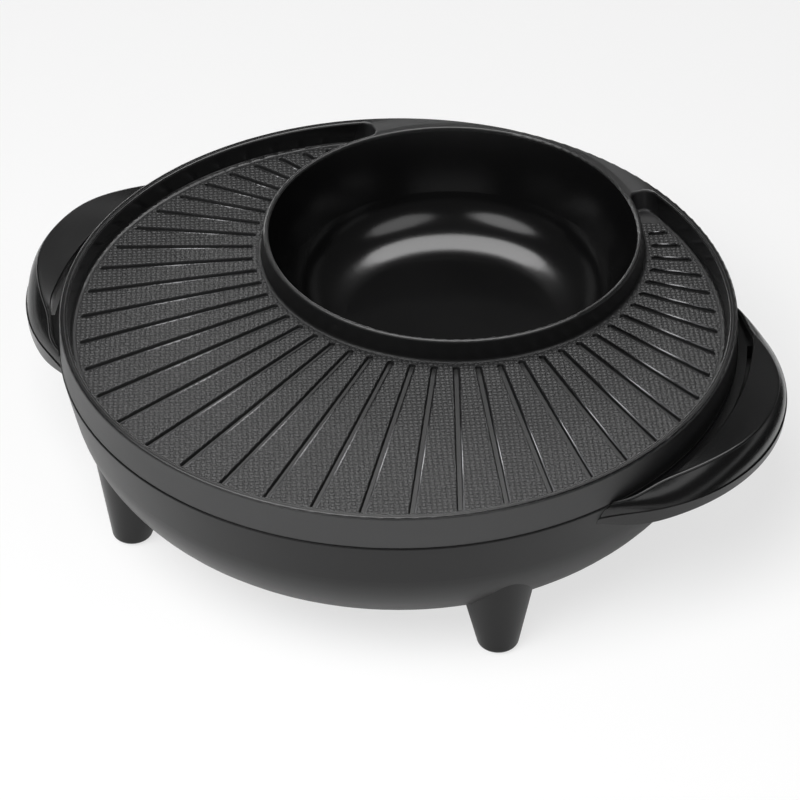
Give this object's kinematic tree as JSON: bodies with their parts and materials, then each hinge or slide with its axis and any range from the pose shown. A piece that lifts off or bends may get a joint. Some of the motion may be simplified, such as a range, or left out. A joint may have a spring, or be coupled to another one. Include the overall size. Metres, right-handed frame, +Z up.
{
  "type": "electric grill and hot pot",
  "caption": "Round electric table grill with an off-centre hot pot: a cast crescent grill pan that lifts off a bowl-shaped base with wing handles, feet and heating elements.",
  "frame": {"origin": "on the table under the pan's round axis, level with the underside of the rubber foot pads", "axes": "+Z up; +X through the right handle; +Y towards the rear, where the pot is; the front is at -Y"},
  "size_m": [0.4494, 0.3826, 0.117],
  "materials": {
    "pan_coating": "cast aluminium under a dark grey to black non-stick coating, satin on the grill, glossy in the pot",
    "shell_plastic": "black moulded plastic, satin gloss",
    "handle_plastic": "black moulded plastic, glossy",
    "foot_plastic": "black moulded plastic, satin",
    "seat_rubber": "black silicone, matt",
    "pad_rubber": "black rubber, matt",
    "reflector_steel": "bright pressed sheet",
    "element_steel": "dull grey sheathed heating tube",
    "fastener_steel": "zinc plated",
    "ceramic": "unglazed steatite",
    "sleeve_plastic": "natural heat-resisting sleeve",
    "thermostat_plastic": "dark brown moulded body",
    "fuse_metal": "plated case",
    "line_insulation": "brown insulation",
    "neutral_insulation": "blue insulation",
    "earth_insulation": "green insulation",
    "inlet_plastic": "black moulded socket",
    "pin_brass": "plated contact pins"
  },
  "bodies": {
    "base": {"base_shell": "shell_plastic", "seat_ring": "seat_rubber", "heat_reflector": "reflector_steel", "reflector_spacers": "ceramic", "reflector_screws": "fastener_steel", "grill_element": "element_steel", "grill_element_clips": "reflector_steel", "pot_element": "element_steel", "pot_element_clips": "reflector_steel", "element_bushes": "ceramic", "element_terminals": "fastener_steel", "terminal_sleeves": "sleeve_plastic", "thermostat": "thermostat_plastic", "thermal_fuse": "fuse_metal", "fuse_strap": "reflector_steel", "tray_screws": "fastener_steel", "earth_screw": "fastener_steel", "line_leads": "line_insulation", "neutral_leads": "neutral_insulation", "earth_lead": "earth_insulation", "inlet_socket": "inlet_plastic", "inlet_pins": "pin_brass", "inlet_screws": "fastener_steel", "handle_left": "handle_plastic", "handle_right": "handle_plastic", "handle_screws": "fastener_steel", "foot_front_left": "foot_plastic", "foot_front_right": "foot_plastic", "foot_rear_left": "foot_plastic", "foot_rear_right": "foot_plastic", "foot_pads": "pad_rubber", "foot_screws": "fastener_steel"},
    "pan": {"cooking_pan": "pan_coating"}
  },
  "joints": [
    {"name": "pan_lift", "type": "slide", "parent": "base", "child": "pan", "axis": [0, 0, 1], "range_m": [0, 0.12]}
  ]
}
